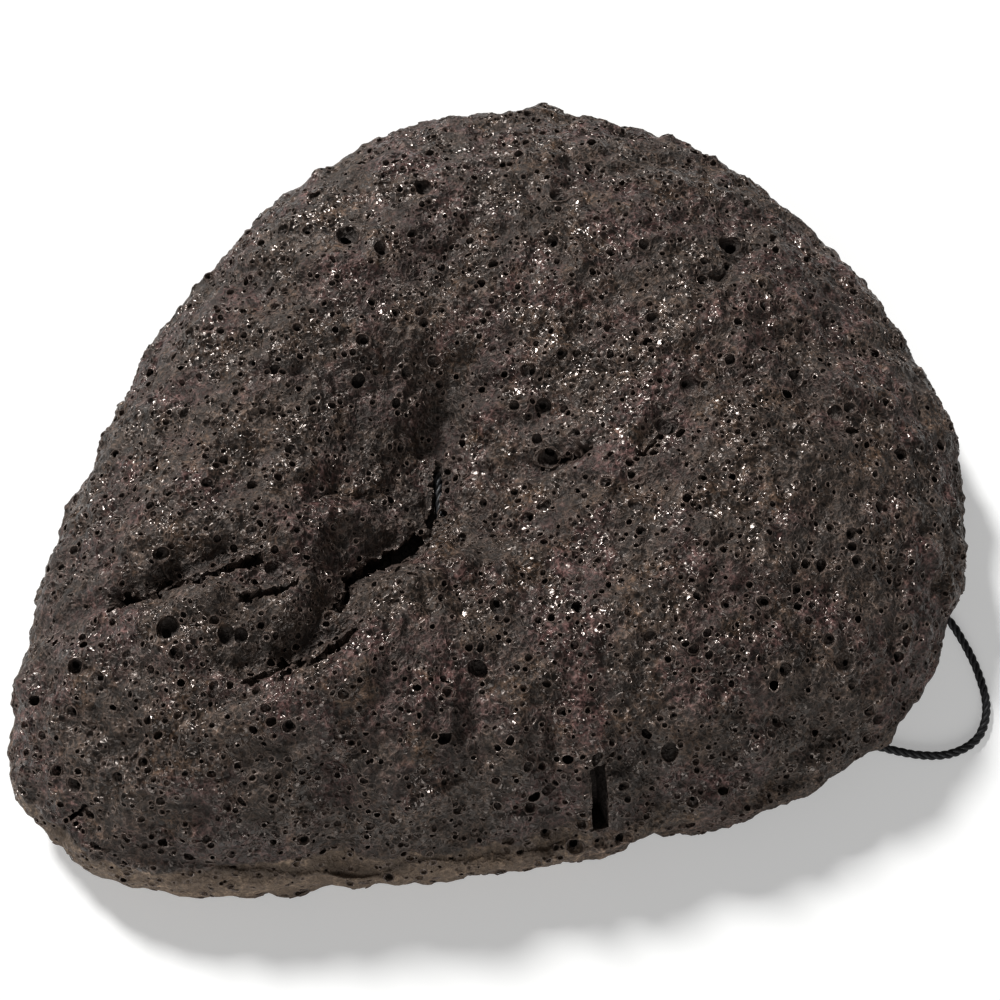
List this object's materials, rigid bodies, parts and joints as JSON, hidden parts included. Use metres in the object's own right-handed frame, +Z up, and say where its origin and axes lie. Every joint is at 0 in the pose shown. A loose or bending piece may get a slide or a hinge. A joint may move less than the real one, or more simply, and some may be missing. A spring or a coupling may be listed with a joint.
{
  "type": "konjac sponge",
  "caption": "Drop-shaped open-cell foam sponge for washing the face, drawn in at the middle by a stitch of thin string whose free part is a loop for hanging it up to dry.",
  "frame": {"origin": "middle of the foam's length and width, on the surface that it rests on; the string is left out", "axes": "+X along the length towards the wide end, +Y across the width, +Z up through the drawn-in top"},
  "size_m": [0.085, 0.0771, 0.016],
  "materials": {
    "foam": "dry open-cell foam, charcoal brown, dull with fine glints",
    "string": "black twisted thread, slightly glossy"
  },
  "bodies": {
    "sponge": {"sponge_body": "foam", "stitch_run": "string"},
    "string_loop": {"hanging_loop": "string", "loop_knot": "string", "knot_lead": "string", "string_ends": "string"}
  },
  "joints": [
    {"name": "loop_swing", "type": "hinge", "parent": "sponge", "child": "string_loop", "pos_m": [-0.002, 0.0012, 0.0036], "axis": [0.5736, 0.8192, 0], "range_deg": [0, 135]}
  ]
}
